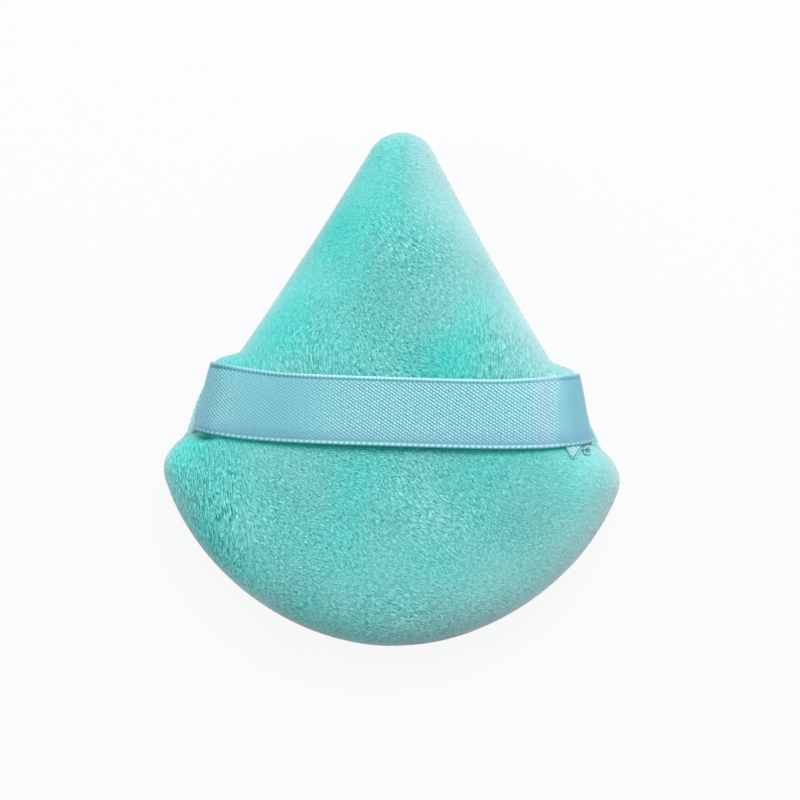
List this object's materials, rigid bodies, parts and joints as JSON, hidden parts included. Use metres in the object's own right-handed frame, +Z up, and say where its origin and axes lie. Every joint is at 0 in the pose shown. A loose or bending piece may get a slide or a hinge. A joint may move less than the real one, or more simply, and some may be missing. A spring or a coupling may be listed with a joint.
{
  "type": "powder puff",
  "caption": "Flat velour pad rounded off from a triangle, with a soft foam core and a satin finger strap across its face, for pressing face powder.",
  "frame": {"origin": "middle of the pad's bounding box, at the flat underside of the back panel that it rests on", "axes": "+Z up out of the face that carries the strap, +Y towards the pad's point, +X to the right with the point away from the viewer"},
  "size_m": [0.071, 0.08, 0.0162],
  "materials": {
    "velour": "matte",
    "satin": "satin",
    "foam": "matte",
    "thread": "satin"
  },
  "bodies": {
    "pad": {"front_panel": "velour", "back_panel": "velour", "foam_core": "foam", "strap_left_end": "satin", "strap_right_end": "satin", "needle_thread": "thread", "bobbin_thread": "thread", "left_strap_tack": "thread", "right_strap_tack": "thread", "closing_thread": "thread"},
    "strap": {"strap_span": "satin"}
  },
  "joints": [
    {"name": "strap_lift", "type": "slide", "parent": "pad", "child": "strap", "axis": [0, 0, 1], "range_m": [0, 0.008], "deforming": ["strap_left_end", "strap_right_end"]}
  ]
}
